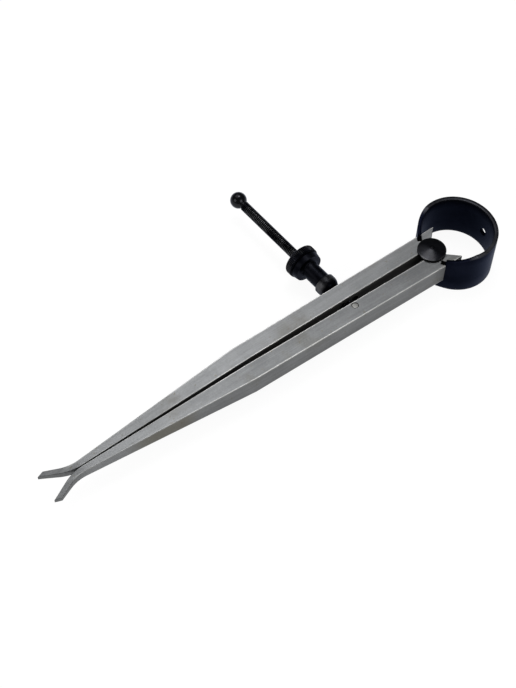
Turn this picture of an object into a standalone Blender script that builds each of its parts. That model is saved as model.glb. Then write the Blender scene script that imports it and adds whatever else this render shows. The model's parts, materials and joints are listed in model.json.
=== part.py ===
"""Spring-type inside caliper, 150 mm from the fulcrum to the feet.

The origin is the bottom centre of the whole tool.  +X runs from the feet towards the bow
spring, +Y from the pinned leg towards the ball of the adjusting screw, and +Z up.  The legs
lie level, and the bow spring stands on its lower edge.
"""
import math

import bmesh
import bpy
from mathutils import Matrix, Vector

MM = 0.001

# Gaps between pieces
SEAT_GAP = 0.30 * MM
PIN_GAP = 0.20 * MM
LEG_GAP_CLOSED = 0.24 * MM

# Legs: flat ground bars that lean together from the fulcrum to the feet
LEG_REACH = 150.6 * MM
LEG_WIDTH = 6.06 * MM
LEG_THICKNESS = 7.9 * MM
HALF_GAP_AT_FULCRUM = 1.47 * MM
TAPER_START = 77.0 * MM
BEND_START = 137.5 * MM
BEND_WIDTH = 2.1 * MM
BEND_THICKNESS = 3.2 * MM
BEND_RADIUS = 14.0 * MM
FOOT_BEND = math.radians(27.0)
TOE_WIDTH = 1.65 * MM
TOE_THICKNESS = 1.4 * MM
TONGUE_REACH = 7.3 * MM
TONGUE_RELIEF = math.radians(42.0)
TONGUE_FLAT = 0.35 * MM
EDGE_BREAK = 0.22 * MM

# Fulcrum stud: a turned spool between the legs
STUD_RADIUS = 2.9 * MM
HEAD_RADIUS = 4.87 * MM
HEAD_RIM = 0.55 * MM
HEAD_CROWN = 0.75 * MM
NIB_RADIUS = 0.55 * MM
NIB_HEIGHT = 0.25 * MM

# Bow spring: a flat strip bent to a nearly round C, its ends cut down on top and slanting under the legs
BOW_LENGTH = 26.2 * MM
BOW_BREADTH = 27.6 * MM
BOW_ENTRY = 0.84 * MM
STRIP_THICKNESS = 1.3 * MM
STRIP_WIDTH = 16.5 * MM
STRIP_TOP_DEPTH = 0.8 * MM
STRIP_BOTTOM_DEPTH = 2.85 * MM
STRIP_END_HEIGHT = 5.3 * MM
STRIP_TAPER = 10.0 * MM
STRIP_EDGE = 0.2 * MM
BOW_HOLE_RADIUS = 1.5 * MM
BOW_HOLE_SIDE = 1.05 * MM
BOW_HOLE_DROP = 1.3 * MM

# Adjusting screw: pinned in one leg, leaning a little towards the feet
PIN_DISTANCE = 34.6 * MM
PIN_INSET = 1.5 * MM
PIN_RADIUS = 1.0 * MM
SCREW_LEAN = math.radians(2.85)
SCREW_RADIUS = 1.75 * MM
SCREW_LENGTH = 60.5 * MM
BALL_RADIUS = 2.9 * MM
EYE_RADIUS = 2.2 * MM
EYE_THICKNESS = 3.0 * MM
SWIVEL_ROOM = 1.2 * MM
SWING_ROOM = 2.8 * MM

# Domed seat washer on the screw
WASHER_RADIUS = 3.8 * MM
WASHER_LAND = 1.4 * MM
WASHER_CHAMFER = 0.25 * MM

# Adjusting nut: hub, plain flange, undercut and knurled rim, turned in one piece
NUT_HUB_RADIUS = 3.05 * MM
NUT_HUB_HEIGHT = 7.3 * MM
NUT_FLANGE_FRONT = 5.15 * MM
NUT_FLANGE_BACK = 5.5 * MM
NUT_FLANGE_WIDTH = 1.9 * MM
NUT_HOLLOW = 0.35 * MM
NUT_NECK_RADIUS = 5.0 * MM
NUT_NECK_WIDTH = 0.4 * MM
NUT_RIM_RADIUS = 5.9 * MM
NUT_RIM_WIDTH = 3.05 * MM
NUT_RIM_ROUND = 0.6 * MM
KNURL_TEETH = 40
KNURL_DEPTH = 0.22 * MM

HALF_THICKNESS = LEG_THICKNESS / 2
NOTCH_RADIUS = STUD_RADIUS + SEAT_GAP
OUTER_FACE = HALF_GAP_AT_FULCRUM + LEG_WIDTH
LEG_TURN = math.asin((HALF_GAP_AT_FULCRUM - LEG_GAP_CLOSED / 2) / BEND_START)
BORE_RADIUS = SCREW_RADIUS + SEAT_GAP

STEEL = ((0.46, 0.46, 0.45), 0.38, 1.0)
BLACK_OXIDE = ((0.035, 0.036, 0.046), 0.42, 0.6)


def clear_scene():
    for item in list(bpy.data.objects):
        bpy.data.objects.remove(item, do_unlink=True)


def metal(name, finish):
    colour, roughness, metallic = finish
    material = bpy.data.materials.new(name)
    material.use_nodes = True
    shader = material.node_tree.nodes["Principled BSDF"]
    shader.inputs["Base Color"].default_value = (*colour, 1.0)
    shader.inputs["Roughness"].default_value = roughness
    shader.inputs["Metallic"].default_value = metallic
    return material


def add_empty(name, parent=None, location=(0, 0, 0), turn=0.0):
    empty = bpy.data.objects.new(name, None)
    empty.empty_display_size = 0.01
    empty.location = location
    empty.rotation_euler.z = turn
    empty.parent = parent
    bpy.context.collection.objects.link(empty)
    return empty


def add_piece(name, bm, parent, finish=None, smooth_angle=None):
    """Turn a bmesh into a named object; a piece with no finish is a cutter."""
    bmesh.ops.recalc_face_normals(bm, faces=bm.faces)
    mesh = bpy.data.meshes.new(name)
    bm.to_mesh(mesh)
    bm.free()
    piece = bpy.data.objects.new(name, mesh)
    piece.parent = parent
    bpy.context.collection.objects.link(piece)
    if finish is None:
        piece.hide_render = True
        piece.display_type = 'WIRE'
    else:
        mesh.materials.append(metal(name, finish))
    if smooth_angle is not None:
        mesh.shade_smooth()
        mesh.set_sharp_from_angle(angle=math.radians(smooth_angle))
    return piece


def cut(piece, cutter):
    boolean = piece.modifiers.new("Cut " + cutter.name, 'BOOLEAN')
    boolean.operation = 'DIFFERENCE'
    boolean.object = cutter
    boolean.solver = 'EXACT'


def round_edges(piece, width, segments=2, angle=35.0):
    bevel = piece.modifiers.new("Broken edges", 'BEVEL')
    bevel.width = width
    bevel.segments = segments
    bevel.limit_method = 'ANGLE'
    bevel.angle_limit = math.radians(angle)


def turned(profile, steps, closed=False):
    """Spin a profile of (radius, height) points about the local Y axis."""
    bm = bmesh.new()
    points = [bm.verts.new((radius, height, 0)) for radius, height in profile]
    for first, second in zip(points, points[1:]):
        bm.edges.new((first, second))
    if closed:
        bm.edges.new((points[-1], points[0]))
    bmesh.ops.spin(bm, geom=list(bm.verts) + list(bm.edges), cent=(0, 0, 0), axis=(0, 1, 0),
                   angle=math.tau, steps=steps, use_duplicate=False)
    bmesh.ops.remove_doubles(bm, verts=bm.verts, dist=1e-7)
    return bm


def arc(centre, radius, start, end, count):
    """Points on a circle from one angle to another, both included."""
    points = []
    for index in range(count + 1):
        angle = start + (end - start) * index / count
        points.append((centre[0] + radius * math.cos(angle), centre[1] + radius * math.sin(angle)))
    return points


def leg_crown(side):
    """Outline of the parallel part of a leg, from the taper round the notch to the tongue."""
    notch_start = math.pi - math.asin(HALF_GAP_AT_FULCRUM / NOTCH_RADIUS)
    tip = (TONGUE_REACH, OUTER_FACE)
    slope = Vector((-math.cos(TONGUE_RELIEF), -math.sin(TONGUE_RELIEF)))
    across = abs(tip[0] * slope.y - tip[1] * slope.x)
    along = math.sqrt(NOTCH_RADIUS ** 2 - across ** 2)
    foot = Vector(tip) - slope * Vector(tip).dot(slope) - slope * along
    notch_end = math.atan2(foot.y, foot.x)
    outline = [(-TAPER_START, HALF_GAP_AT_FULCRUM)]
    outline += arc((0, 0), NOTCH_RADIUS, notch_start, notch_end, 14)
    outline += [(tip[0] + slope.x * TONGUE_FLAT, tip[1] + slope.y * TONGUE_FLAT)]
    outline += [(tip[0] - TONGUE_FLAT, tip[1]), (-TAPER_START, OUTER_FACE)]
    return [(x, side * y) for x, y in outline]


def foot_stations():
    """Cross-lines of the tapered part: inner point, outer point and half thickness."""
    stations = []
    inner = Vector((-BEND_START, HALF_GAP_AT_FULCRUM))
    stations.append((inner, inner + Vector((0, BEND_WIDTH)), BEND_THICKNESS / 2))
    arc_centre = inner + Vector((0, BEND_WIDTH / 2 + BEND_RADIUS))
    length = LEG_REACH - BEND_START
    straight = length - BEND_RADIUS * FOOT_BEND
    bend_steps = 6
    for index in range(1, bend_steps + 1):
        angle = FOOT_BEND * index / bend_steps
        share = BEND_RADIUS * angle / length
        centre = arc_centre + Vector((-math.sin(angle), -math.cos(angle))) * BEND_RADIUS
        stations.append(foot_cross_line(centre, angle, share))
    heading = Vector((-math.cos(FOOT_BEND), math.sin(FOOT_BEND)))
    toe = centre + heading * (straight - TOE_WIDTH)
    stations.append(foot_cross_line(toe, FOOT_BEND, 1 - TOE_WIDTH / length))
    return stations, heading


def foot_cross_line(centre, angle, share):
    across = Vector((math.sin(angle), math.cos(angle)))
    half_width = (BEND_WIDTH + (TOE_WIDTH - BEND_WIDTH) * share) / 2
    half_thickness = (BEND_THICKNESS + (TOE_THICKNESS - BEND_THICKNESS) * share) / 2
    return centre - across * half_width, centre + across * half_width, half_thickness


def leg_mesh(side):
    bm = bmesh.new()

    def layer(points, height):
        return [bm.verts.new((x, y, height)) for x, y in points]

    crown = leg_crown(side)
    top = layer(crown, HALF_THICKNESS)
    bottom = layer(crown, -HALF_THICKNESS)
    bm.faces.new(top)
    bm.faces.new(list(reversed(bottom)))
    for index in range(len(crown) - 1):
        bm.faces.new((top[index], bottom[index], bottom[index + 1], top[index + 1]))

    stations, heading = foot_stations()
    last = (top[0], top[-1], bottom[-1], bottom[0])
    for inner, outer, half in stations:
        flat = [(inner.x, side * inner.y), (outer.x, side * outer.y)]
        upper = layer(flat, half)
        lower = layer(flat, -half)
        ring = (upper[0], upper[1], lower[1], lower[0])
        for corner in range(4):
            following = (corner + 1) % 4
            bm.faces.new((last[corner], last[following], ring[following], ring[corner]))
        last = ring

    # The toe is ground off at 45 degrees on its outer side, which leaves a narrow measuring edge
    inner, outer, half = stations[-1]
    tip = inner + heading * (outer - inner).length
    crest = layer([(tip.x, side * tip.y)], TOE_THICKNESS / 2)[0]
    sole = layer([(tip.x, side * tip.y)], -TOE_THICKNESS / 2)[0]
    bm.faces.new((last[0], last[1], crest))
    bm.faces.new((last[2], last[3], sole))
    bm.faces.new((last[1], last[2], sole, crest))
    bm.faces.new((last[3], last[0], crest, sole))
    return bm


def strip_centre_line():
    """Half axes and centre of the ellipse that the middle of the strip follows."""
    half_x = (BOW_LENGTH - STRIP_THICKNESS) / 2
    half_y = (BOW_BREADTH - STRIP_THICKNESS) / 2
    centre_x = BOW_ENTRY + half_x * math.sqrt(1 - (OUTER_FACE / half_y) ** 2)
    return half_x, half_y, centre_x


def strip_entry():
    """Where the strip's centre line meets a leg's outer face, and its direction there."""
    half_x, half_y, centre_x = strip_centre_line()
    height = OUTER_FACE
    angle = math.pi - math.asin(height / half_y)
    point = Vector((centre_x + half_x * math.cos(angle), height))
    inward = Vector((-half_x * math.sin(angle), half_y * math.cos(angle))).normalized()
    return point, inward, angle


def end_depth(height):
    """How far past the leg's outer face the slanted end of the strip reaches at a height."""
    share = (STRIP_END_HEIGHT - height) / (STRIP_END_HEIGHT + STRIP_WIDTH / 2)
    return STRIP_TOP_DEPTH + (STRIP_BOTTOM_DEPTH - STRIP_TOP_DEPTH) * share


def upper_edge(travel):
    """Height of the strip's upper edge at a distance along the strip from its end."""
    return min(STRIP_WIDTH / 2, STRIP_END_HEIGHT + (STRIP_WIDTH / 2 - STRIP_END_HEIGHT) * travel / STRIP_TAPER)


def bow_spring(parent):
    half_x, half_y, centre_x = strip_centre_line()
    point, inward, limit = strip_entry()
    bm = bmesh.new()
    steps = 72
    line = []
    for index in range(steps + 1):
        angle = limit * (2 * index / steps - 1)
        line.append(Vector((centre_x + half_x * math.cos(angle), half_y * math.sin(angle))))

    # The two corners of each end lie at their own depths, and the upper edge climbs from there
    low = point + inward * STRIP_BOTTOM_DEPTH
    high = point + inward * STRIP_TOP_DEPTH
    lower = [Vector((low.x, -low.y))] + line + [low]
    upper = [Vector((high.x, -high.y))] + line + [high]
    travels = [0.0]
    for first, second in zip(upper, upper[1:]):
        travels.append(travels[-1] + (second - first).length)
    bottom = []
    top = []
    for below, above, travel in zip(lower, upper, travels):
        rise = upper_edge(min(travel, travels[-1] - travel))
        bottom.append(bm.verts.new((below.x, below.y, -STRIP_WIDTH / 2)))
        top.append(bm.verts.new((above.x, above.y, rise)))
    for index in range(len(line) + 1):
        bm.faces.new((bottom[index], bottom[index + 1], top[index + 1], top[index]))
    spring = add_piece("bow_spring", bm, parent, BLACK_OXIDE, smooth_angle=30)
    wall = spring.modifiers.new("Strip thickness", 'SOLIDIFY')
    wall.thickness = STRIP_THICKNESS
    wall.offset = 0
    wall.use_even_offset = True
    round_edges(spring, STRIP_EDGE, segments=1, angle=50.0)

    hole = bmesh.new()
    bmesh.ops.create_cone(hole, cap_ends=True, segments=32, radius1=BOW_HOLE_RADIUS,
                          radius2=BOW_HOLE_RADIUS, depth=4 * STRIP_THICKNESS)
    spot = Matrix.Translation((centre_x + half_x, -BOW_HOLE_SIDE, -BOW_HOLE_DROP))
    place = spot @ Matrix.Rotation(math.pi / 2, 4, 'Y')
    bmesh.ops.transform(hole, matrix=place, verts=hole.verts)
    cut(spring, add_piece("cutter_bow_hole", hole, parent))
    return spring


def groove_cutter(name, side, parent):
    """The slanted groove in a leg's outer face that the end of the strip hooks into."""
    point, inward, _ = strip_entry()
    bm = bmesh.new()
    width = STRIP_THICKNESS + 2 * PIN_GAP
    length = end_depth(-HALF_THICKNESS) + SEAT_GAP
    outside = 3 * STRIP_THICKNESS
    bmesh.ops.create_cube(bm, size=1.0)
    bmesh.ops.scale(bm, vec=(length + outside, width, 2 * LEG_THICKNESS), verts=bm.verts)
    centre = point + inward * ((length - outside) / 2)
    aim = Matrix.Rotation(math.atan2(inward.y, inward.x), 4, 'Z')
    place = Matrix.Translation((centre.x, centre.y, 0)) @ aim
    bmesh.ops.transform(bm, matrix=place, verts=bm.verts)
    if side < 0:
        bmesh.ops.scale(bm, vec=(1, -1, 1), verts=bm.verts)
    # The spring does not lean with the leg, so the groove is turned back to meet it
    bmesh.ops.rotate(bm, cent=(0, 0, 0), matrix=Matrix.Rotation(-side * LEG_TURN, 3, 'Z'), verts=bm.verts)
    return add_piece(name, bm, parent)


def slot_cutter(name, low, high, start, end, parent):
    """A slot with round ends along X, from one depth in Y to another."""
    bm = bmesh.new()
    outline = arc((high - BORE_RADIUS, 0), BORE_RADIUS, -math.pi / 2, math.pi / 2, 14)
    outline += arc((low + BORE_RADIUS, 0), BORE_RADIUS, math.pi / 2, 1.5 * math.pi, 14)
    face = bm.faces.new([bm.verts.new((x, start, z)) for x, z in outline])
    pushed = bmesh.ops.extrude_face_region(bm, geom=[face])
    moved = [item for item in pushed["geom"] if isinstance(item, bmesh.types.BMVert)]
    bmesh.ops.translate(bm, verts=moved, vec=(0, end - start, 0))
    return add_piece(name, bm, parent)


def slotted_leg(parent):
    """The leg that the adjusting screw passes through."""
    leg = add_piece("slotted_leg", leg_mesh(1), parent, STEEL)
    round_edges(leg, EDGE_BREAK)
    cut(leg, groove_cutter("cutter_slotted_leg_groove", 1, parent))
    low = -PIN_DISTANCE - BORE_RADIUS - SWIVEL_ROOM
    high = -PIN_DISTANCE + BORE_RADIUS + SWING_ROOM
    inside = HALF_GAP_AT_FULCRUM - LEG_WIDTH
    cut(leg, slot_cutter("cutter_screw_slot", low, high, inside, OUTER_FACE + LEG_WIDTH, parent))
    return leg


def pinned_leg(parent):
    """The leg that holds the swivel pin and the eye of the adjusting screw."""
    leg = add_piece("pinned_leg", leg_mesh(-1), parent, STEEL)
    round_edges(leg, EDGE_BREAK)
    cut(leg, groove_cutter("cutter_pinned_leg_groove", -1, parent))
    corner = BORE_RADIUS - math.sqrt(BORE_RADIUS ** 2 - (EYE_THICKNESS / 2) ** 2)
    low = -PIN_DISTANCE - EYE_RADIUS - SEAT_GAP - corner
    high = -PIN_DISTANCE + EYE_RADIUS + SEAT_GAP + corner + SWIVEL_ROOM
    bottom = -HALF_GAP_AT_FULCRUM - PIN_INSET - EYE_RADIUS - SEAT_GAP
    cut(leg, slot_cutter("cutter_eye_slot", low, high, bottom, HALF_GAP_AT_FULCRUM, parent))
    hole = bmesh.new()
    bmesh.ops.create_cone(hole, cap_ends=True, segments=32, radius1=PIN_RADIUS + PIN_GAP,
                          radius2=PIN_RADIUS + PIN_GAP, depth=2 * LEG_THICKNESS)
    spot = (-PIN_DISTANCE, -HALF_GAP_AT_FULCRUM - PIN_INSET, 0)
    bmesh.ops.translate(hole, vec=spot, verts=hole.verts)
    cut(leg, add_piece("cutter_pin_hole", hole, parent))
    return leg


def fulcrum_stud(parent):
    underside = HALF_THICKNESS + SEAT_GAP
    rim_top = underside + HEAD_RIM
    crown_top = rim_top + HEAD_CROWN
    nib_top = crown_top + NIB_HEIGHT
    break_rim = HEAD_RIM / 4
    half = [(STUD_RADIUS, 0), (STUD_RADIUS, underside), (HEAD_RADIUS - break_rim, underside),
            (HEAD_RADIUS, underside + break_rim), (HEAD_RADIUS, rim_top - break_rim),
            (HEAD_RADIUS - break_rim, rim_top), (NIB_RADIUS, crown_top),
            (NIB_RADIUS * 0.7, nib_top), (0, nib_top)]
    profile = [(radius, -height) for radius, height in reversed(half)][:-1] + half
    bm = turned(profile, 48)
    bmesh.ops.rotate(bm, cent=(0, 0, 0), matrix=Matrix.Rotation(math.pi / 2, 3, 'X'), verts=bm.verts)
    return add_piece("fulcrum_stud", bm, parent, BLACK_OXIDE, smooth_angle=30)


def swivel_pin(parent):
    half = HALF_THICKNESS
    dome = PIN_RADIUS * 0.15
    profile = [(0, -half - dome), (PIN_RADIUS * 0.7, -half), (PIN_RADIUS, -half + dome),
               (PIN_RADIUS, half - dome), (PIN_RADIUS * 0.7, half), (0, half + dome)]
    bm = turned(profile, 24)
    bmesh.ops.rotate(bm, cent=(0, 0, 0), matrix=Matrix.Rotation(math.pi / 2, 3, 'X'), verts=bm.verts)
    pin = add_piece("swivel_pin", bm, parent, STEEL, smooth_angle=40)
    pin.location = (-PIN_DISTANCE, -HALF_GAP_AT_FULCRUM - PIN_INSET, 0)
    return pin


def adjusting_screw(parent):
    """Rod with a ball on its outer end and a flat eye on its inner end, joined to one solid."""
    meet = SCREW_LENGTH - math.sqrt(BALL_RADIUS ** 2 - SCREW_RADIUS ** 2)
    start = math.asin(SCREW_RADIUS / BALL_RADIUS)
    ball = []
    for index in range(13):
        angle = start + (math.pi - start) * index / 12
        ball.append((BALL_RADIUS * math.sin(angle), SCREW_LENGTH - BALL_RADIUS * math.cos(angle)))
    ball[-1] = (0, SCREW_LENGTH + BALL_RADIUS)
    profile = [(0, 0), (SCREW_RADIUS, 0), (SCREW_RADIUS, meet - SCREW_RADIUS)] + ball
    screw = add_piece("adjusting_screw", turned(profile, 32), parent, BLACK_OXIDE, smooth_angle=40)

    eye = bmesh.new()
    bmesh.ops.create_cone(eye, cap_ends=True, segments=40, radius1=EYE_RADIUS,
                          radius2=EYE_RADIUS, depth=EYE_THICKNESS)
    boss = add_piece("guide_screw_eye", eye, parent)
    join = screw.modifiers.new("Eye", 'BOOLEAN')
    join.operation = 'UNION'
    join.object = boss
    join.solver = 'EXACT'

    hole = bmesh.new()
    bmesh.ops.create_cone(hole, cap_ends=True, segments=32, radius1=PIN_RADIUS + PIN_GAP,
                          radius2=PIN_RADIUS + PIN_GAP, depth=3 * EYE_THICKNESS)
    cut(screw, add_piece("cutter_eye_hole", hole, parent))
    return screw


def washer_centre(turn):
    """Distance along the screw from the pin to the centre of the washer's dome."""
    outward = Vector((-math.sin(turn), math.cos(turn)))
    direction = Vector((-math.sin(SCREW_LEAN), math.cos(SCREW_LEAN)))
    pin = Matrix.Rotation(-turn, 2) @ Vector((-PIN_DISTANCE, -HALF_GAP_AT_FULCRUM - PIN_INSET))
    return (OUTER_FACE + WASHER_RADIUS + SEAT_GAP - pin.dot(outward)) / direction.dot(outward)


def seat_washer(parent, centre):
    depth = math.sqrt(WASHER_RADIUS ** 2 - BORE_RADIUS ** 2)
    lowest = math.asin(BORE_RADIUS / WASHER_RADIUS)
    profile = [(BORE_RADIUS, centre + WASHER_LAND), (BORE_RADIUS, centre - depth)]
    for index in range(1, 11):
        angle = lowest + (math.pi / 2 - lowest) * index / 10
        profile.append((WASHER_RADIUS * math.sin(angle), centre - WASHER_RADIUS * math.cos(angle)))
    profile.append((WASHER_RADIUS, centre + WASHER_LAND - WASHER_CHAMFER))
    profile.append((WASHER_RADIUS - WASHER_CHAMFER, centre + WASHER_LAND))
    return add_piece("seat_washer", turned(profile, 48, closed=True), parent, BLACK_OXIDE, smooth_angle=40)


def adjusting_nut(parent, base):
    """Base is the distance from the pin to the hub's flat end."""
    front = base + NUT_HUB_HEIGHT
    back = front + NUT_FLANGE_WIDTH
    rim = back + NUT_NECK_WIDTH
    face = rim + NUT_RIM_WIDTH
    small = WASHER_CHAMFER
    profile = [(BORE_RADIUS, base), (NUT_HUB_RADIUS - small, base), (NUT_HUB_RADIUS, base + small)]
    profile += arc((NUT_HUB_RADIUS + NUT_HOLLOW, front - NUT_HOLLOW), NUT_HOLLOW, math.pi, math.pi / 2, 4)
    profile += [(NUT_FLANGE_FRONT - small / 2, front), (NUT_FLANGE_FRONT, front + small / 2)]
    profile += [(NUT_FLANGE_BACK, back), (NUT_NECK_RADIUS, back), (NUT_NECK_RADIUS, rim)]
    step = NUT_RIM_RADIUS - NUT_RIM_ROUND
    profile += arc((step, rim + NUT_RIM_ROUND), NUT_RIM_ROUND, -math.pi / 2, 0, 4)
    profile += arc((step, face - NUT_RIM_ROUND), NUT_RIM_ROUND, 0, math.pi / 2, 4)
    profile += [(BORE_RADIUS + 2 * small, face), (BORE_RADIUS, face - 2 * small)]
    bm = turned(profile, 2 * KNURL_TEETH, closed=True)

    # Straight knurl: every second row of points on the rim is pressed in
    for vert in bm.verts:
        radius = math.hypot(vert.co.x, vert.co.z)
        if vert.co.y < rim + NUT_RIM_ROUND / 4 or radius < step + NUT_RIM_ROUND / 2:
            continue
        row = round(math.atan2(vert.co.z, vert.co.x) / math.tau * 2 * KNURL_TEETH)
        if row % 2:
            vert.co.x *= 1 - KNURL_DEPTH / radius
            vert.co.z *= 1 - KNURL_DEPTH / radius
    return add_piece("adjusting_nut", bm, parent, BLACK_OXIDE, smooth_angle=28)


def stand_on_origin(base):
    """Move the whole tool so that its bottom centre is at the world's origin."""
    bpy.context.view_layer.update()
    graph = bpy.context.evaluated_depsgraph_get()
    corners = []
    for item in bpy.data.objects:
        if item.type == 'MESH' and not item.hide_render:
            solid = item.evaluated_get(graph)
            corners += [solid.matrix_world @ vert.co for vert in solid.data.vertices]
    low = Vector([min(corner[axis] for corner in corners) for axis in range(3)])
    high = Vector([max(corner[axis] for corner in corners) for axis in range(3)])
    base.location = (-(low.x + high.x) / 2, -(low.y + high.y) / 2, -low.z)
    bpy.context.view_layer.update()


clear_scene()
fulcrum = add_empty("fulcrum_axis")
slotted_hinge = add_empty("slotted_leg_axis", fulcrum, turn=LEG_TURN)
pinned_hinge = add_empty("pinned_leg_axis", fulcrum, turn=-LEG_TURN)
screw_hinge = add_empty("screw_axis", pinned_hinge, turn=SCREW_LEAN + LEG_TURN,
                        location=(-PIN_DISTANCE, -HALF_GAP_AT_FULCRUM - PIN_INSET, 0))

fulcrum_stud(fulcrum)
bow_spring(fulcrum)
slotted_leg(slotted_hinge)
pinned_leg(pinned_hinge)
swivel_pin(pinned_hinge)
adjusting_screw(screw_hinge)
dome_centre = washer_centre(LEG_TURN)
seat_washer(screw_hinge, dome_centre)
adjusting_nut(screw_hinge, dome_centre + WASHER_LAND + SEAT_GAP)
stand_on_origin(fulcrum)
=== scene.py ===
import json
import math

import bpy
from mathutils import Matrix, Vector


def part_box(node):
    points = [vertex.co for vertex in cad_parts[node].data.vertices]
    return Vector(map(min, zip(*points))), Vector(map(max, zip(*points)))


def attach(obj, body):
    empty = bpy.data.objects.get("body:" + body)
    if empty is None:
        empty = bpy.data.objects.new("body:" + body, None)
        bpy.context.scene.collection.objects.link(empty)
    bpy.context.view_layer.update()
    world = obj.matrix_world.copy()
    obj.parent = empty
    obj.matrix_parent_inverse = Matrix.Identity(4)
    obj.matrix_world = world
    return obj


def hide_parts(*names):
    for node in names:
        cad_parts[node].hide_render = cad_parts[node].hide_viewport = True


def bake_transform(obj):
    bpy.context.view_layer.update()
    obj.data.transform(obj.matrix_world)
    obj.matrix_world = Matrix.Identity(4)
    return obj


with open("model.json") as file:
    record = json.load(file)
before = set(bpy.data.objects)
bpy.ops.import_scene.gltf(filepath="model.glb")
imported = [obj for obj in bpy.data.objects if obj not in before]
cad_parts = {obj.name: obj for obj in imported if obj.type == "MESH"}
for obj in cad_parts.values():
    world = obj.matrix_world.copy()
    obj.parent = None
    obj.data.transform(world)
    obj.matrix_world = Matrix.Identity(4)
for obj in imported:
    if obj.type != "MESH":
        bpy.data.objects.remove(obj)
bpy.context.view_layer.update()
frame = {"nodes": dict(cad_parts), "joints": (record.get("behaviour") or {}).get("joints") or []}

MM = 0.001


# Studio: the tool lies on a white sheet under soft lamps, and the camera stands where the
# photographer did, looking down across the feet towards the bow spring.
fulcrum = Vector(frame["joints"][0]["pos_m"])
VIEW_TURN = 0.6537095
VIEW_TILT = -0.5954598
VIEW_ROLL = -0.0264043
VIEW_ACROSS = 57.775 * MM
VIEW_UP = 28.796 * MM
VIEW_DISTANCE = 469.68 * MM
IMAGE_HEIGHT = 688
FOCAL_PIXELS = 1400.0
SENSOR = 36.0
SHEET_SIZE = 6.0
SHEET_DROP = 0.05 * MM
SHEET_GREY = (0.78, 0.78, 0.78, 1.0)
SHEET_GLOW = 1.08
SHEET_SEEN = 0.86
SHEET_MIRRORED = 0.32
AIR_LEVEL = 0.40
AIR_SEEN = 0.60
AIR_MIRRORED = 0.25

view = (Matrix.Rotation(VIEW_ROLL, 3, 'Z') @ Matrix.Rotation(VIEW_TILT, 3, 'X')
        @ Matrix.Rotation(VIEW_TURN, 3, 'Z'))
camera_place = view.transposed() @ Vector((-VIEW_ACROSS, -VIEW_UP, VIEW_DISTANCE)) + fulcrum
camera = bpy.data.objects.new("photo_camera", bpy.data.cameras.new("photo_camera"))
camera.data.sensor_width = SENSOR
camera.data.lens = FOCAL_PIXELS / IMAGE_HEIGHT * SENSOR
camera.matrix_world = Matrix.Translation(camera_place) @ view.transposed().to_4x4()
bpy.context.collection.objects.link(camera)
bpy.context.scene.camera = camera
bpy.context.scene.view_settings.view_transform = 'Standard'


class Wire:
    """One output inside a material. Arithmetic on it adds the Math nodes that work it out."""

    def __init__(self, tree, socket=None):
        self.tree = tree
        self.socket = socket

    def node(self, kind, settings=(), sockets=(), output=0):
        """Any node: its settings come first, then the values or links of its sockets."""
        made = self.tree.nodes.new(kind)
        for name, value in dict(settings).items():
            setattr(made, name, value)
        for name, value in dict(sockets).items():
            if isinstance(value, Wire):
                self.tree.links.new(value.socket, made.inputs[name])
            else:
                made.inputs[name].default_value = value
        return Wire(self.tree, made.outputs[output])

    def maths(self, operation, *terms, clamp=False):
        sockets = {place: term for place, term in enumerate(terms)}
        return self.node("ShaderNodeMath", {"operation": operation, "use_clamp": clamp}, sockets)

    def __add__(self, other):
        return self.maths('ADD', self, other)

    def __radd__(self, other):
        return self.maths('ADD', other, self)

    def __sub__(self, other):
        return self.maths('SUBTRACT', self, other)

    def __rsub__(self, other):
        return self.maths('SUBTRACT', other, self)

    def __mul__(self, other):
        return self.maths('MULTIPLY', self, other)

    def __rmul__(self, other):
        return self.maths('MULTIPLY', other, self)

    def __truediv__(self, other):
        return self.maths('DIVIDE', self, other)

    def __pow__(self, other):
        return self.maths('POWER', self, other)

    def __abs__(self):
        return self.maths('ABSOLUTE', self)

    def clamped(self):
        return self.maths('ADD', self, 0.0, clamp=True)

    def least(self, other):
        return self.maths('MINIMUM', self, other)

    def most(self, other):
        return self.maths('MAXIMUM', self, other)

    def ramp(self, low, high):
        """0 below low, 1 above high and smooth between; low may be the greater one."""
        return self.node("ShaderNodeMapRange", {"interpolation_type": 'SMOOTHSTEP'},
                         {"Value": self, 1: low, 2: high})

    def split(self):
        parts = self.node("ShaderNodeSeparateXYZ", (), {0: self}).socket.node
        return [Wire(self.tree, parts.outputs[axis]) for axis in range(3)]

    def joined(self, *parts):
        return self.node("ShaderNodeCombineXYZ", (), {place: part for place, part in enumerate(parts)})

    def noise(self, vector, scale, detail=2.0, roughness=0.5):
        return self.node("ShaderNodeTexNoise", (), {"Vector": vector, "Scale": scale, "Detail": detail,
                                                    "Roughness": roughness})

    def mixed(self, share, first, second):
        """Colour first where share is 0 and second where it is 1."""
        return self.node("ShaderNodeMix", {"data_type": 'RGBA'}, {0: share, 6: first, 7: second}, output=2)


def new_material(name):
    """A material's node tree as a wire to draw from, and its shader."""
    material = bpy.data.materials.new(name)
    material.use_nodes = True
    tree = material.node_tree
    return material, Wire(tree), tree.nodes["Principled BSDF"]


def feed(wire, node, name):
    wire.tree.links.new(wire.socket, node.inputs[name])


def local_place(start, origin, turn):
    """Object coordinates measured from origin, in a direction turned about the upright axis."""
    here = start.node("ShaderNodeTexCoord", output="Object")
    return start.node("ShaderNodeMapping", {"vector_type": 'TEXTURE'},
                      {"Vector": here, "Location": tuple(origin), "Rotation": (0.0, 0.0, turn)})


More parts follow.
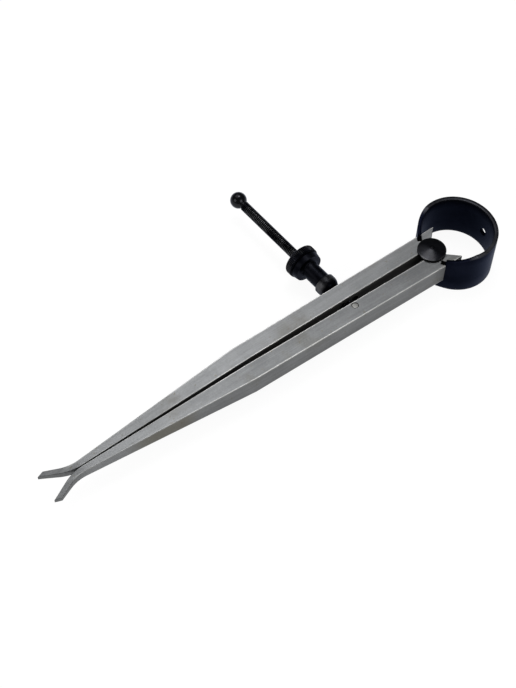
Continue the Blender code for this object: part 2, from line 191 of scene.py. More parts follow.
def white_sheet():
    """White to the eye, and under that a plain grey surface that takes a faint shadow."""
    material, start, shader = new_material("white_sheet")
    shader.inputs["Base Color"].default_value = SHEET_GREY
    shader.inputs["Roughness"].default_value = 0.9
    shader.inputs["Specular IOR Level"].default_value = 0.0
    seen = start.node("ShaderNodeLightPath", output="Is Camera Ray")
    mirrored = start.node("ShaderNodeLightPath", output="Is Glossy Ray")
    share = seen * SHEET_SEEN + mirrored * SHEET_MIRRORED
    paper = Wire(start.tree, shader.outputs[0])
    glow = start.node("ShaderNodeEmission", (), {"Strength": SHEET_GLOW})
    both = start.node("ShaderNodeMixShader", (), {0: share, 1: paper, 2: glow})
    feed(both, start.tree.nodes["Material Output"], "Surface")
    return material


bpy.ops.object.select_all(action='DESELECT')
bpy.ops.mesh.primitive_plane_add(size=SHEET_SIZE, location=(0, 0, -SHEET_DROP))
sheet = bpy.context.object
sheet.name = "white_sheet"
sheet.data.materials.append(white_sheet())

world = bpy.data.worlds.new("studio_air")
world.use_nodes = True
bpy.context.scene.world = world
air = Wire(world.node_tree)
seen = air.node("ShaderNodeLightPath", output="Is Camera Ray")
mirrored = air.node("ShaderNodeLightPath", output="Is Glossy Ray")
sky = world.node_tree.nodes["Background"]
sky.inputs["Color"].default_value = (1.0, 1.0, 1.0, 1.0)
feed(seen * AIR_SEEN - mirrored * AIR_MIRRORED + AIR_LEVEL, sky, "Strength")


def soft_lamp(name, place, size, power):
    """A square soft box that faces the middle of the tool."""
    lamp = bpy.data.lights.new(name, 'AREA')
    lamp.shape = 'SQUARE'
    lamp.size = size
    lamp.energy = power
    item = bpy.data.objects.new(name, lamp)
    item.location = place
    item.rotation_euler = (-Vector(place)).to_track_quat('-Z', 'Y').to_euler()
    bpy.context.collection.objects.link(item)


soft_lamp("overhead_soft_box", (0.21, 0.16, 0.72), 0.26, 1.3)
soft_lamp("back_panel", (0.02, 0.38, 0.72), 0.60, 1.1)
soft_lamp("left_soft_box", (-0.70, 0.10, 0.40), 0.45, 1.1)
soft_lamp("front_soft_box", (0.15, -0.75, 0.45), 0.45, 1.6)


# Legs: two flat bars of tool steel, milled, then ground lengthwise and left bright. They taper
# to slim feet that turn outwards. Each is one piece, and both pivot on the fulcrum stud.
LEG_INNER = 1.47 * MM
LEG_GAP_CLOSED = 0.24 * MM
LEG_WIDTH = 6.06 * MM
LEG_HALF_THICKNESS = 3.95 * MM
TAPER_START = -77.0 * MM
BEND_START = -137.5 * MM
LEG_TURN = math.asin((LEG_INNER - LEG_GAP_CLOSED / 2) / -BEND_START)
FOOT_WIDTH = 2.1 * MM
FOOT_HALF_THICKNESS = 1.6 * MM
STEEL_DARK = (0.130, 0.134, 0.137, 1.0)
STEEL_LIGHT = (0.352, 0.360, 0.368, 1.0)
# Bright edges: a painted highlight, partly polish wear
STEEL_WORN_AND_GLINT = (0.80, 0.80, 0.78, 1.0)
STEEL_STAIN = (0.14, 0.125, 0.085, 1.0)
# Near black for the faces between the legs: painted shade, with oil
STEEL_OIL_AND_SHADE = (0.012, 0.011, 0.009, 1.0)
GRAIN_ALONG = 60.0
GRAIN_ACROSS = 4200.0
STREAK_ALONG = 18.0
STREAK_ACROSS = 900.0

# Places along the leg, from the fulcrum towards the feet, between which painted light on the tops and sides,
# painted shade on the toes, the painted edge highlight with its polish wear, and the tarnish come or go
TOP_LIGHT_PART = (-110 * MM, -80 * MM)
SLIM_REFLECTION_PART = (-105 * MM, -130 * MM)
GLINT_AND_POLISH_PART = (-115 * MM, -60 * MM)
SIDE_LIGHT_PART = (-88 * MM, -130 * MM)
TOE_SHADE_PART = (-133 * MM, -146 * MM)
TARNISH_COMES = (-96 * MM, -104 * MM)
TARNISH_GOES = (-126 * MM, -114 * MM)


def ground_steel(name, side, top_light_tone, slim_reflection_tone):
    """Satin steel: lengthwise grain, light stains, a bright painted highlight along the edges that is partly
    the wear of hands polishing them, and painted light and shade.

    The third argument paints the tops of the broad half lighter or darker, and the fourth paints the slim
    half lighter; both stand in for lamp reflections. The slim half's sides also get painted light, the toes
    get painted shade, and the faces between the legs get painted shade with oil."""
    material, start, shader = new_material(name)
    place = local_place(start, fulcrum, side * LEG_TURN)
    along, across, height = place.split()
    across = across * side

    # How far the taper has gone, and from it the half thickness and the width at this place
    taper = start.node("ShaderNodeMapRange", (), {"Value": along, 1: TAPER_START, 2: BEND_START})
    half = LEG_HALF_THICKNESS - taper * (LEG_HALF_THICKNESS - FOOT_HALF_THICKNESS)
    width = LEG_WIDTH - taper * (LEG_WIDTH - FOOT_WIDTH)
    from_face = half - abs(height)
    from_outer = (LEG_INNER + width) - across
    from_inner = across - LEG_INNER
    edge = from_outer.least(from_inner).most(from_face).most(0.0)

    # The side faces, and on them the faces between the legs, which get painted shade along with oil
    side_face = from_face.ramp(0.12 * MM, 0.32 * MM)
    between = side_face * from_inner.ramp(0.12 * MM, 0.03 * MM)
    # Painted shade: the toes, whose faces turn down away from the lamps, are made darker
    toe_shade = along.ramp(*TOE_SHADE_PART)

    fine = start.joined(along * GRAIN_ALONG, across * GRAIN_ACROSS, height * GRAIN_ACROSS)
    coarse = start.joined(along * STREAK_ALONG, across * STREAK_ACROSS, height * STREAK_ACROSS)
    grain = start.noise(fine, 1.0, 3.0, 0.62)
    streak = start.noise(coarse, 1.0, 2.0, 0.5)
    cloud = start.noise(place, 110.0, 4.0, 0.6)
    speck = start.noise(place, 1500.0, 3.0, 0.65)
    stain = start.noise(place, 45.0, 4.0, 0.6).ramp(0.54, 0.72)
    tarnish = side_face * along.ramp(*TARNISH_COMES) * along.ramp(*TARNISH_GOES)
    # Painted highlight along the edges, partly also the wear of hands polishing them
    wear_and_edge_glint = (edge.ramp(0.40 * MM, 0.05 * MM) * (cloud * 0.9 + 0.35).clamped()
            * (0.30 + 0.70 * along.ramp(*GLINT_AND_POLISH_PART)))
    pits = start.noise(place, 900.0, 1.0, 0.4).ramp(0.70, 0.76)

    # Painted light: the tops of the broad half are made lighter or darker and the slim half lighter, standing
    # in for lamp reflections along the leg, and the slim half's sides a little lighter
    lighter = (0.30 + along.ramp(*TOP_LIGHT_PART) * (1.0 - side_face) * top_light_tone
               + along.ramp(*SLIM_REFLECTION_PART) * slim_reflection_tone + (cloud - 0.5) * 0.44
               + (grain - 0.5) * 0.52 + (streak - 0.5) * 0.34 + (speck - 0.5) * 0.36
               - toe_shade * 0.34 + side_face * along.ramp(*SIDE_LIGHT_PART) * 0.06).clamped()
    colour = start.mixed(lighter, STEEL_DARK, STEEL_LIGHT)
    colour = start.mixed((stain * 0.34 + tarnish * 0.60 + pits * 0.5).clamped(), colour, STEEL_STAIN)
    colour = start.mixed(wear_and_edge_glint, colour, STEEL_WORN_AND_GLINT)
    # Painted shade with oil: the faces between the legs are made nearly black
    colour = start.mixed(between * 0.93, colour, STEEL_OIL_AND_SHADE)
    feed(colour, shader, "Base Color")
    feed((0.40 + (grain - 0.5) * 0.25 + stain * 0.08 - wear_and_edge_glint * 0.12 + between * 0.35), shader, "Roughness")
    feed(1.0 - between * 0.9, shader, "Metallic")
    bump = start.node("ShaderNodeBump", (), {"Strength": 0.35, "Distance": 0.02 * MM,
                                             "Height": grain + streak * 0.4 + speck * 0.4})
    feed(bump, shader, "Normal")
    return material


for node, side, top_light_tone, slim_reflection_tone in (("slotted_leg", 1, 0.03, 0.08),
                                           ("pinned_leg", -1, -0.17, 0.16)):
    leg = frame["nodes"][node]
    leg.data.materials.clear()
    leg.data.materials.append(ground_steel(node + "_ground_steel", side, top_light_tone, slim_reflection_tone))


# Fulcrum stud: a turned spool whose waist sits in the legs' notches. Its domed heads are faced on
# the lathe, which leaves fine rings and a small centre nib, and it is blued like the spring.
STUD_RADIUS = 2.9 * MM
HEAD_RADIUS = 4.87 * MM
HEAD_RIM = 0.55 * MM
HEAD_CROWN = 0.75 * MM
HEAD_SWELL = 0.03 * MM
NIB_RADIUS = 0.55 * MM
NIB_HEIGHT = 0.25 * MM
STUD_GAP = 0.30 * MM
RING_COUNT = 9
RING_DEPTH = 0.012 * MM
STUD_EDGE = 0.09 * MM
MERGE_DISTANCE = 0.002 * MM
BLUED_DARK = (0.0020, 0.0023, 0.0042, 1.0)
BLUED_LIGHT = (0.0115, 0.0120, 0.0165, 1.0)
# Light worn steel; on the screw's thread crests it is a painted highlight as well as wear
BLUED_RUBBED_AND_GLINT = (0.34, 0.34, 0.35, 1.0)
BLUED_GLANCE = (0.74, 0.77, 0.88, 1.0)


def start_piece():
    """Nothing stays selected, and work starts in object mode."""
    if bpy.context.object is not None and bpy.context.object.mode != 'OBJECT':
        bpy.ops.object.mode_set(mode='OBJECT')
    bpy.ops.object.select_all(action='DESELECT')


def turn_on_lathe(name, profile, steps=96):
    """Draw a profile of (radius, height) points edge by edge and spin it about the upright axis.

    The profile of a bored piece ends on its first point."""
    start_piece()
    bpy.ops.mesh.primitive_plane_add(size=1 * MM)
    piece = bpy.context.object
    piece.name = name
    bpy.ops.object.mode_set(mode='EDIT')
    bpy.ops.mesh.select_all(action='SELECT')
    bpy.ops.mesh.merge(type='CENTER')
    radius, height = profile[0]
    bpy.ops.transform.translate(value=(radius, 0, height))
    for wider, higher in profile[1:]:
        step = (wider - radius, 0, higher - height)
        bpy.ops.mesh.extrude_region_move(TRANSFORM_OT_translate={"value": step})
        radius, height = wider, higher
    bpy.ops.mesh.select_all(action='SELECT')
    bpy.ops.mesh.spin(steps=steps, angle=math.tau, center=(0, 0, 0), axis=(0, 0, 1))
    bpy.ops.mesh.select_all(action='SELECT')
    bpy.ops.mesh.remove_doubles(threshold=MERGE_DISTANCE)
    bpy.ops.mesh.normals_make_consistent(inside=False)
    bpy.ops.object.mode_set(mode='OBJECT')
    return piece


def round_over(piece, width, segments=3, angle=30):
    """Break the sharp edges with a small radius, then shade the rest smooth."""
    bevel = piece.modifiers.new("Broken edges", 'BEVEL')
    bevel.width = width
    bevel.segments = segments
    bevel.limit_method = 'ANGLE'
    bevel.angle_limit = math.radians(angle)
    bevel.miter_outer = 'MITER_ARC'
    bpy.context.view_layer.objects.active = piece
    bpy.ops.object.modifier_apply(modifier=bevel.name)
    piece.select_set(True)
    bpy.ops.object.shade_smooth_by_angle(angle=math.radians(angle))


def fit_in_place(piece, matrix, material, body):
    """Move the finished mesh to its place on the tool, give it its finish and fix it to its body."""
    piece.data.transform(matrix)
    piece.data.update()
    piece.data.materials.clear()
    piece.data.materials.append(material)
    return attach(piece, body)


def blued_steel(name, place_of, marks=0.0, wear_and_glint=None, shine=0.0, oiled=None):
    """Black oxide on turned or rolled steel: blue-black, uneven, with a soft sheen.

    place_of gives (radius, height) of a point; marks is the depth of the lathe's rings, and the two functions
    that follow are 1 where the black is worn thin and where oil lies on it; on the screw's thread crests the
    first also paints a highlight."""
    material, start, shader = new_material(name)
    place, radius, height = place_of(start)
    rings = start.noise(start.joined(radius * 9000.0, height * 9000.0, 0.0), 1.0, 2.0, 0.6)
    broad = start.noise(start.joined(radius * 1900.0, height * 1900.0, 3.0), 1.0, 1.0, 0.5)
    cloud = start.noise(place, 210.0, 4.0, 0.6)
    speck = start.noise(place, 2600.0, 2.0, 0.6)
    tone = (cloud.ramp(0.36, 0.66) * 0.7 + (speck - 0.5) * 0.5 + (rings - 0.5) * 0.5).clamped()
    colour = start.mixed(tone, BLUED_DARK, BLUED_LIGHT)
    if wear_and_glint is not None:
        worn_and_glint = (wear_and_glint(radius, height) * cloud.ramp(0.32, 0.64)).clamped()
        colour = start.mixed(worn_and_glint, colour, BLUED_RUBBED_AND_GLINT)
    feed(colour, shader, "Base Color")
    shader.inputs["Metallic"].default_value = 1.0
    feed((0.43 - shine * 0.4 + (cloud - 0.5) * 0.18 + (speck - 0.5) * 0.12), shader, "Roughness")
    shader.inputs["Specular Tint"].default_value = BLUED_GLANCE
    shader.inputs["Coat Weight"].default_value = shine
    if oiled is not None:
        feed(oiled(radius, height) * shine, shader, "Coat Weight")
    shader.inputs["Coat Roughness"].default_value = 0.24 - shine * 0.18
    bump = start.node("ShaderNodeBump", (), {"Strength": 0.5, "Distance": 0.012 * MM,
                                             "Height": speck * 0.4 + rings * marks + broad * marks})
    feed(bump, shader, "Normal")
    return material


def about_upright(centre):
    """Distance from the upright axis through centre, and height above it."""
    def place_of(start):
        place = local_place(start, centre, 0.0)
        east, north, height = place.split()
        radius = (east * east + north * north) ** 0.5
        return place, radius, height
    return place_of


def head_profile():
    """From the middle of the spool's waist out over the head to the nib."""
    underside = LEG_HALF_THICKNESS + STUD_GAP
    rim_top = underside + HEAD_RIM
    crown_top = rim_top + HEAD_CROWN
    points = [(STUD_RADIUS, 0), (STUD_RADIUS, underside)]
    points += [(HEAD_RADIUS, underside), (HEAD_RADIUS, rim_top)]
    for ring in range(1, 2 * RING_COUNT):
        share = ring / (2 * RING_COUNT)
        radius = HEAD_RADIUS + (NIB_RADIUS - HEAD_RADIUS) * share
        groove = RING_DEPTH if ring % 2 else 0.0
        swell = math.sin(share * math.pi) * HEAD_SWELL
        points.append((radius, rim_top + HEAD_CROWN * share + swell - groove))
    points += [(NIB_RADIUS, crown_top), (NIB_RADIUS * 0.75, crown_top + NIB_HEIGHT * 0.8)]
    points += [(NIB_RADIUS * 0.3, crown_top + NIB_HEIGHT), (0, crown_top + NIB_HEIGHT)]
    return points


upper = head_profile()
lower = [(radius, -height) for radius, height in reversed(upper)]
stud = turn_on_lathe("fulcrum_stud_spool", lower + upper[1:])
round_over(stud, STUD_EDGE, angle=40)
stud_steel = blued_steel("stud_blued_steel", about_upright(fulcrum), marks=1.0, shine=0.25,
                         wear_and_glint=lambda radius, height: radius.ramp(HEAD_RADIUS - 0.5 * MM, HEAD_RADIUS) * 0.2)
fit_in_place(stud, Matrix.Translation(fulcrum), stud_steel, "fulcrum")
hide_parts("fulcrum_stud")


# Swivel pin: a steel pin pressed through the plain leg and the screw's eye, its ends peened
# over and filed almost level with the leg, so that only a faint ring shows.
swivel = Vector(frame["joints"][2]["pos_m"])
PIN_RADIUS = 1.10 * MM
PIN_DOME = 0.04 * MM
PIN_SINK = 0.06 * MM
PIN_EDGE = 0.03 * MM
PIN_FACE = (0.20, 0.20, 0.195, 1.0)
PIN_DIRT = (0.05, 0.042, 0.030, 1.0)


def peened_end():
    """From half way down the pin up its side and over its flat dome."""
    points = [(PIN_RADIUS, 0)]
    for share in (0.0, 0.35, 0.65, 0.85, 1.0):
        angle = share * math.pi / 2
        radius = PIN_RADIUS * math.cos(angle) ** 0.6 if share < 1 else 0
        points.append((radius, LEG_HALF_THICKNESS - PIN_SINK + PIN_DOME * math.sin(angle)))
    return points


def pin_steel(name):
    """Peened steel: small dents, and dirt round the rim."""
    material, start, shader = new_material(name)
    place = local_place(start, swivel, 0.0)
    east, north, height = place.split()
    radius = (east * east + north * north) ** 0.5
    dents = start.noise(place, 2200.0, 2.0, 0.5)
    dirt = (radius.ramp(0.75 * PIN_RADIUS, PIN_RADIUS) * 0.8 + (dents - 0.5) * 0.8).clamped()
    feed(start.mixed(dirt, PIN_FACE, PIN_DIRT), shader, "Base Color")
    shader.inputs["Metallic"].default_value = 1.0
    feed(0.35 + dirt * 0.3, shader, "Roughness")
    feed(start.node("ShaderNodeBump", (), {"Strength": 0.6, "Distance": 0.03 * MM, "Height": dents}),
         shader, "Normal")
    return material


upper_end = peened_end()
lower_end = [(radius, -height) for radius, height in reversed(upper_end)]
pin = turn_on_lathe("swivel_pin_peened", lower_end + upper_end[1:], 48)
round_over(pin, PIN_EDGE, angle=50)
peened_steel = pin_steel("peened_pin_steel")
fit_in_place(pin, Matrix.Translation(swivel), peened_steel, "pinned_leg_body")
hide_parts("swivel_pin")


# Adjusting screw: a rod with a fine thread cut along it, a flat eye that turns on the pin
# inside the plain leg, and a turned ball that stops the nut at its outer end.
screw_way = Vector(frame["joints"][3]["axis"])
SCREW_LEAN = math.atan2(-screw_way.x, screw_way.y)
along_screw = Matrix.Translation(swivel) @ Matrix.Rotation(SCREW_LEAN, 4, 'Z')
along_screw = along_screw @ Matrix.Rotation(-math.pi / 2, 4, 'X')
THREAD_RADIUS = 1.75 * MM
THREAD_PITCH = 0.65 * MM
THREAD_DEPTH = 0.36 * MM
THREAD_START = 3.4 * MM
THREAD_END_GAP = 0.5 * MM
THREAD_STEPS = 24
CREST = THREAD_RADIUS - 0.04 * MM
CREST_SHARE = 0.22
ROOT_SHARE = 0.96
ROOT_SINK = 0.05 * MM
ROD_START = 0.4 * MM
SCREW_LENGTH = 60.5 * MM
BALL_RADIUS = 2.9 * MM
BALL_STEPS = 20
EYE_RADIUS = 2.2 * MM
EYE_THICKNESS = 3.0 * MM
EYE_HOLE = 1.2 * MM
EYE_EDGE = 0.12 * MM


def about_screw(start):
    """Distance from the screw's axis, and distance along it from the pin."""
    place = local_place(start, swivel, SCREW_LEAN)
    across, along, up = place.split()
    radius = (across * across + up * up) ** 0.5
    return place, radius, along


core = THREAD_RADIUS - THREAD_DEPTH
neck_start = SCREW_LENGTH - math.sqrt(BALL_RADIUS ** 2 - core ** 2)
rod = [(0, ROD_START), (core, ROD_START), (core, neck_start)]
first = math.asin(core / BALL_RADIUS)
for index in range(1, BALL_STEPS):
    angle = first + (math.pi - first) * index / BALL_STEPS
    rod.append((BALL_RADIUS * math.sin(angle), SCREW_LENGTH - BALL_RADIUS * math.cos(angle)))
rod.append((0, SCREW_LENGTH + BALL_RADIUS))
screw = turn_on_lathe("adjusting_screw_threaded", rod, 64)
screw.select_set(True)
bpy.ops.object.shade_smooth_by_angle(angle=math.radians(40))

# The thread is a ridge wound round the rod, from the eye to the ball
start_piece()
bpy.ops.mesh.primitive_plane_add(size=1 * MM)
ridge = bpy.context.object
ridge.name = "screw_thread"
half_pitch = THREAD_PITCH / 2
outline = [(core - ROOT_SINK, -half_pitch * ROOT_SHARE), (CREST, -half_pitch * CREST_SHARE),
           (CREST, half_pitch * CREST_SHARE), (core - ROOT_SINK, half_pitch * ROOT_SHARE)]
bpy.ops.object.mode_set(mode='EDIT')
bpy.ops.mesh.select_all(action='SELECT')
bpy.ops.mesh.merge(type='CENTER')
bpy.ops.transform.translate(value=(outline[0][0], 0, outline[0][1] + THREAD_START))
for (radius, height), (wider, higher) in zip(outline, outline[1:] + outline[:1]):
    step = (wider - radius, 0, higher - height)
    bpy.ops.mesh.extrude_region_move(TRANSFORM_OT_translate={"value": step})
bpy.ops.mesh.select_all(action='SELECT')
bpy.ops.mesh.remove_doubles(threshold=MERGE_DISTANCE)
bpy.ops.object.mode_set(mode='OBJECT')
wind = ridge.modifiers.new("Thread", 'SCREW')
wind.axis = 'Z'
wind.angle = math.tau
wind.screw_offset = THREAD_PITCH
wind.iterations = int((neck_start - THREAD_END_GAP - THREAD_START) / THREAD_PITCH)
wind.steps = THREAD_STEPS
wind.render_steps = THREAD_STEPS
wind.use_merge_vertices = False
bpy.ops.object.modifier_apply(modifier=wind.name)
bpy.ops.object.mode_set(mode='EDIT')
bpy.ops.mesh.select_all(action='SELECT')
bpy.ops.mesh.fill_holes(sides=4)
bpy.ops.mesh.select_all(action='SELECT')
bpy.ops.mesh.normals_make_consistent(inside=False)
bpy.ops.object.mode_set(mode='OBJECT')

# The eye: a flat disc across the pin, bored for it
start_piece()
bpy.ops.mesh.primitive_cylinder_add(vertices=64, radius=EYE_RADIUS, depth=EYE_THICKNESS)
eye = bpy.context.object
eye.name = "screw_eye"
bpy.ops.object.mode_set(mode='EDIT')
bpy.ops.mesh.select_mode(type='FACE')
bpy.ops.mesh.select_all(action='DESELECT')
bpy.ops.object.mode_set(mode='OBJECT')
for face in eye.data.polygons:
    face.select = abs(face.normal.z) > 0.9
bpy.ops.object.mode_set(mode='EDIT')
bpy.ops.mesh.inset(thickness=EYE_RADIUS - EYE_HOLE)
bpy.ops.mesh.bridge_edge_loops()
bpy.ops.mesh.select_mode(type='VERT')
bpy.ops.mesh.select_all(action='SELECT')
bpy.ops.mesh.normals_make_consistent(inside=False)
bpy.ops.object.mode_set(mode='OBJECT')
eye.data.transform(Matrix.Rotation(math.pi / 2, 4, 'X'))
round_over(eye, EYE_EDGE)

start_piece()
for item in (eye, ridge, screw):
    item.select_set(True)
bpy.context.view_layer.objects.active = screw
bpy.ops.object.join()
# Painted highlight on the thread crests, partly also wear from the nut
screw_steel = blued_steel("screw_blued_steel", about_screw, marks=0.3, shine=0.42,
                          wear_and_glint=lambda radius, along: radius.ramp(CREST - 0.05 * MM, CREST - 0.01 * MM)
                          * along.ramp(56 * MM, 54 * MM) * 0.4,
                          oiled=lambda radius, along: along.ramp(56 * MM, 58 * MM))
fit_in_place(screw, along_screw, screw_steel, "screw_body")
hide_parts("adjusting_screw")


# Seat washer: a turned collar whose domed end rocks in the leg's slot as the screw leans,
# so that the nut always bears squarely. Blued, and rubbed on the dome.
WASHER_RADIUS = 3.8 * MM
WASHER_LAND = 1.4 * MM
BORE_RADIUS = 1.85 * MM
HUB_GAP = 0.30 * MM
LEG_OUTER = LEG_INNER + LEG_WIDTH
SEAT_GAP = 0.30 * MM
WASHER_EDGE = 0.28 * MM
DOME_STEPS = 14


def dome_place():
    """Distance along the screw from the pin to the centre of the washer's dome."""
    outward = Vector((-math.sin(LEG_TURN), math.cos(LEG_TURN), 0))
    centre_out = LEG_OUTER + WASHER_RADIUS + SEAT_GAP
    pin_out = (swivel - fulcrum).dot(outward)
    return (centre_out - pin_out) / screw_way.dot(outward)


dome = dome_place()
lowest = math.asin(BORE_RADIUS / WASHER_RADIUS)
collar = [(BORE_RADIUS, dome + WASHER_LAND)]
for index in range(DOME_STEPS + 1):
    angle = lowest + (math.pi / 2 - lowest) * index / DOME_STEPS
    collar.append((WASHER_RADIUS * math.sin(angle), dome - WASHER_RADIUS * math.cos(angle)))
collar += [(WASHER_RADIUS, dome + WASHER_LAND), (BORE_RADIUS, dome + WASHER_LAND)]
washer = turn_on_lathe("seat_washer_domed", collar)
round_over(washer, WASHER_EDGE, segments=4, angle=40)
washer_steel = blued_steel("washer_blued_steel", about_screw, marks=0.8, shine=0.04,
                           wear_and_glint=lambda radius, along: radius.ramp(3.2 * MM, 3.8 * MM) * 0.30)
fit_in_place(washer, along_screw, washer_steel, "washer_body")
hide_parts("seat_washer")


# Adjusting nut: turned in one piece with a plain hub, a flange, an undercut and a straight-
# knurled rim that the fingers turn. Threaded on the screw and blued.
HUB_RADIUS = 3.05 * MM
HUB_HEIGHT = 7.3 * MM
FLANGE_FRONT = 5.15 * MM
FLANGE_BACK = 5.5 * MM
FLANGE_WIDTH = 1.9 * MM
HOLLOW = 0.55 * MM
NECK_RADIUS = 5.0 * MM
NECK_WIDTH = 0.4 * MM
RIM_RADIUS = 5.9 * MM
RIM_WIDTH = 3.05 * MM
RIM_ROUND = 0.6 * MM
ROUND_STEPS = 5
BORE_CHAMFER = 0.4 * MM
KNURL_TEETH = 60
KNURL_DEPTH = 0.20 * MM
KNURL_SHAPE = (0.0, 0.55, 1.0, 0.55)


def quarter_round(middle, level, radius, start, end):
    """Points of a profile on a quarter circle about (middle, level)."""
    points = []
    for index in range(ROUND_STEPS + 1):
        angle = start + (end - start) * index / ROUND_STEPS
        points.append((middle + radius * math.cos(angle), level + radius * math.sin(angle)))
    return points


hub_end = dome + WASHER_LAND + HUB_GAP
flange = hub_end + HUB_HEIGHT
neck = flange + FLANGE_WIDTH
rim = neck + NECK_WIDTH
face = rim + RIM_WIDTH
rim_step = RIM_RADIUS - RIM_ROUND
body = [(BORE_RADIUS, hub_end), (HUB_RADIUS, hub_end)]
body += quarter_round(HUB_RADIUS + HOLLOW, flange - HOLLOW, HOLLOW, math.pi, math.pi / 2)
body += [(FLANGE_FRONT, flange), (FLANGE_BACK, neck), (NECK_RADIUS, neck), (NECK_RADIUS, rim)]
body += quarter_round(rim_step, rim + RIM_ROUND, RIM_ROUND, -math.pi / 2, 0)
body += quarter_round(rim_step, face - RIM_ROUND, RIM_ROUND, 0, math.pi / 2)
body += [(BORE_RADIUS + BORE_CHAMFER, face), (BORE_RADIUS, face - BORE_CHAMFER), (BORE_RADIUS, hub_end)]
knurl_steps = len(KNURL_SHAPE) * KNURL_TEETH
nut = turn_on_lathe("adjusting_nut_knurled", body, knurl_steps)

# The knurling wheel presses a groove between each pair of teeth
for vert in nut.data.vertices:
    radius = math.hypot(vert.co.x, vert.co.y)
    if vert.co.z > rim - 0.01 * MM and radius > rim_step + RIM_ROUND * 0.15:
        row = round(math.atan2(vert.co.y, vert.co.x) / math.tau * knurl_steps) % len(KNURL_SHAPE)
        share = 1 - KNURL_DEPTH * KNURL_SHAPE[row] / radius
        vert.co.x *= share
        vert.co.y *= share
nut.data.update()
nut.select_set(True)
bpy.ops.object.shade_smooth_by_angle(angle=math.radians(32))
nut_steel = blued_steel("nut_blued_steel", about_screw, marks=0.9, shine=0.03,
                        wear_and_glint=lambda radius, along: radius.ramp(RIM_RADIUS - 0.10 * MM, RIM_RADIUS) * 0.3)
fit_in_place(nut, along_screw, nut_steel, "nut_body")
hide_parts("adjusting_nut")


# Bow spring: a strip of spring steel bent to a C and blued. Its ends are ground down on top and
# cut on a slant, hook into grooves in the legs and push them together.
spring_low, spring_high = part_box("bow_spring")
STRIP_THICKNESS = 1.3 * MM
STRIP_TOP_DEPTH = 0.8 * MM
STRIP_BOTTOM_DEPTH = 2.85 * MM
STRIP_END_HEIGHT = 5.3 * MM
STRIP_TAPER = 10.0 * MM
STRIP_EDGE = 0.16 * MM
ARC_OVER_CHORD = 1.03
BOW_HOLE_RADIUS = 1.5 * MM
BOW_HOLE_SIDE = 1.05 * MM
BOW_HOLE_DROP = 1.3 * MM
BOW_LENGTH = 26.2 * MM
BOW_STEPS = 240
SEAM_SIDE = 1.6 * MM
SPRING_DARK = (0.0007, 0.0011, 0.0036, 1.0)
SPRING_LIGHT = (0.0058, 0.0072, 0.0150, 1.0)
SPRING_GLANCE = (0.66, 0.70, 0.84, 1.0)
strip_width = spring_high.z - spring_low.z
bow_back = spring_high.x - fulcrum.x
half_x = (BOW_LENGTH - STRIP_THICKNESS) / 2
half_y = (spring_high.y - spring_low.y - STRIP_THICKNESS) / 2
centre_x = bow_back - BOW_LENGTH / 2
seat_angle = math.pi - math.asin(LEG_OUTER / half_y)
seat = Vector((centre_x + half_x * math.cos(seat_angle), LEG_OUTER, 0))
inward = Vector((-half_x * math.sin(seat_angle), half_y * math.cos(seat_angle), 0)).normalized()


def spring_steel(name):
    """Blued strip: rolled along its length, with painted light that makes the outer wall a little lighter
    than the shaded inner wall, and a little lighter where its edges rub.
    """
    material, start, shader = new_material(name)
    place = local_place(start, fulcrum, 0.0)
    east, north, height = place.split()
    bow_x = (east - centre_x) / half_x
    bow_y = north / half_y
    ring = (bow_x * bow_x + bow_y * bow_y) ** 0.5
    edge = abs(height).ramp(strip_width / 2 - 0.9 * MM, strip_width / 2 - 0.1 * MM)
    rolled = start.noise(start.joined(east * 60.0, north * 60.0, height * 2600.0), 1.0, 3.0, 0.6)
    cloud = start.noise(place, 120.0, 4.0, 0.6)
    speck = start.noise(place, 2400.0, 2.0, 0.6)
    # Painted light: the outer wall is made lighter than the inner wall, which stands in shade inside the ring
    lit_outside = ring.ramp(0.99, 1.01)
    tone = (cloud.ramp(0.35, 0.68) * 0.6 + (speck - 0.5) * 0.45 + (rolled - 0.5) * 0.45
            + lit_outside * 0.15).clamped()
    colour = start.mixed(tone, SPRING_DARK, SPRING_LIGHT)
    worn_and_glint = (edge * (cloud * 1.5 - 0.25)).clamped() * 0.16
    feed(start.mixed(worn_and_glint, colour, BLUED_RUBBED_AND_GLINT), shader, "Base Color")
    shader.inputs["Metallic"].default_value = 1.0
    shader.inputs["Specular Tint"].default_value = SPRING_GLANCE
    feed(0.40 + (cloud - 0.5) * 0.16 + (speck - 0.5) * 0.10, shader, "Roughness")
    feed(start.node("ShaderNodeBump", (), {"Strength": 0.45, "Distance": 0.012 * MM,
                                           "Height": speck * 0.5 + rolled}), shader, "Normal")
    return material


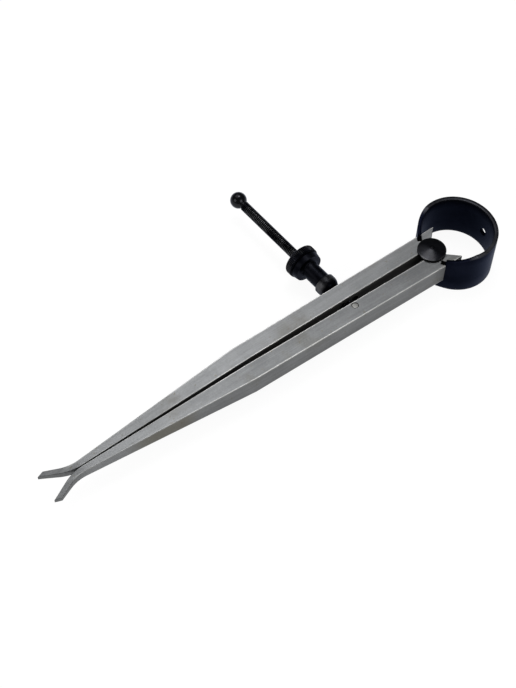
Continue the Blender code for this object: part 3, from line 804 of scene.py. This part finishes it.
def bend_strip():
    """The whole strip: its lower edge drawn round the ellipse and raised in four bands."""
    start_piece()
    bpy.ops.mesh.primitive_plane_add(size=1 * MM)
    strip = bpy.context.object
    line = []
    for index in range(BOW_STEPS + 1):
        angle = seat_angle * (2 * index / BOW_STEPS - 1)
        line.append(Vector((centre_x + half_x * math.cos(angle), half_y * math.sin(angle), 0)))
    low_end = seat + inward * STRIP_BOTTOM_DEPTH
    line = [Vector((low_end.x, -low_end.y, 0))] + line + [low_end]
    bpy.ops.object.mode_set(mode='EDIT')
    bpy.ops.mesh.select_all(action='SELECT')
    bpy.ops.mesh.merge(type='CENTER')
    bpy.ops.transform.translate(value=line[0] - Vector((0, 0, strip_width / 2)))
    for spot, following in zip(line, line[1:]):
        bpy.ops.mesh.extrude_region_move(TRANSFORM_OT_translate={"value": following - spot})
    clear = 1.3 * BOW_HOLE_RADIUS
    levels = [-strip_width / 2, -BOW_HOLE_DROP - clear, -BOW_HOLE_DROP + clear,
              STRIP_END_HEIGHT - 1.0 * MM, strip_width / 2]
    bpy.ops.mesh.select_all(action='SELECT')
    for level, following in zip(levels, levels[1:]):
        bpy.ops.mesh.extrude_region_move(TRANSFORM_OT_translate={"value": (0, 0, following - level)})
    bpy.ops.object.mode_set(mode='OBJECT')

    # The upper edge falls towards each end, and the end slants back from its lower corner
    slope = (strip_width / 2 - STRIP_END_HEIGHT) / STRIP_TAPER
    slant = (STRIP_BOTTOM_DEPTH - STRIP_TOP_DEPTH) / (STRIP_END_HEIGHT + strip_width / 2)
    for vert in strip.data.vertices:
        side = math.copysign(1, vert.co.y)
        if (vert.co.xy - Vector((low_end.x, side * low_end.y))).length < 0.01 * MM:
            height = min(vert.co.z, STRIP_END_HEIGHT)
            depth = STRIP_TOP_DEPTH + slant * (STRIP_END_HEIGHT - height)
            vert.co.x = seat.x + inward.x * depth
            vert.co.y = side * (seat.y + inward.y * depth)
            vert.co.z = height
        elif vert.co.z > levels[3] + 0.01 * MM and vert.co.x < centre_x:
            chord = (vert.co.xy - Vector((seat.x, side * seat.y))).length
            travel = chord * ARC_OVER_CHORD + STRIP_TOP_DEPTH
            vert.co.z = min(strip_width / 2, STRIP_END_HEIGHT + slope * travel)
    start_piece()
    strip.select_set(True)
    bpy.context.view_layer.objects.active = strip
    bpy.ops.object.mode_set(mode='EDIT')
    bpy.ops.mesh.select_all(action='SELECT')
    bpy.ops.mesh.normals_make_consistent(inside=False)
    bpy.ops.object.mode_set(mode='OBJECT')
    wall = strip.modifiers.new("Strip thickness", 'SOLIDIFY')
    wall.thickness = STRIP_THICKNESS
    wall.offset = 0
    wall.use_even_offset = True
    bpy.ops.object.modifier_apply(modifier=wall.name)
    return strip


def drill(strip):
    """The small round hole through the back, beside its middle."""
    bpy.ops.mesh.primitive_cylinder_add(vertices=64, radius=BOW_HOLE_RADIUS, depth=4 * STRIP_THICKNESS,
                                        location=(centre_x + half_x, -BOW_HOLE_SIDE, -BOW_HOLE_DROP),
                                        rotation=(0, math.pi / 2, 0))
    bit = bpy.context.object
    hole = strip.modifiers.new("Hole", 'BOOLEAN')
    hole.operation = 'DIFFERENCE'
    hole.solver = 'EXACT'
    hole.object = bit
    bpy.context.view_layer.objects.active = strip
    bpy.ops.object.modifier_apply(modifier=hole.name)
    bpy.data.objects.remove(bit, do_unlink=True)


def half_of(strip, name, side):
    """The part of the strip on one side of a seam in the back, clear of the hole."""
    start_piece()
    strip.select_set(True)
    bpy.context.view_layer.objects.active = strip
    bpy.ops.object.duplicate()
    half = bpy.context.object
    half.name = name
    bpy.ops.object.mode_set(mode='EDIT')
    bpy.ops.mesh.select_all(action='SELECT')
    bpy.ops.mesh.bisect(plane_co=(0, SEAM_SIDE, 0), plane_no=(0, -side, 0), use_fill=True, clear_outer=True)
    bpy.ops.mesh.select_all(action='SELECT')
    bpy.ops.mesh.normals_make_consistent(inside=False)
    bpy.ops.object.mode_set(mode='OBJECT')
    bpy.ops.object.shade_smooth_by_angle(angle=math.radians(50))
    return half


strip = bend_strip()
drill(strip)
round_over(strip, STRIP_EDGE, segments=2, angle=50)
spring_finish = spring_steel("spring_blued_steel")
for name, side, leg_body in (("bow_spring_left_half", 1, "slotted_leg_body"),
                             ("bow_spring_right_half", -1, "pinned_leg_body")):
    half = half_of(strip, name, side)
    half.data.transform(Matrix.Translation(fulcrum))
    half.data.materials.clear()
    half.data.materials.append(spring_finish)
    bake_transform(half)
    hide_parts("bow_spring")
bpy.data.objects.remove(strip, do_unlink=True)
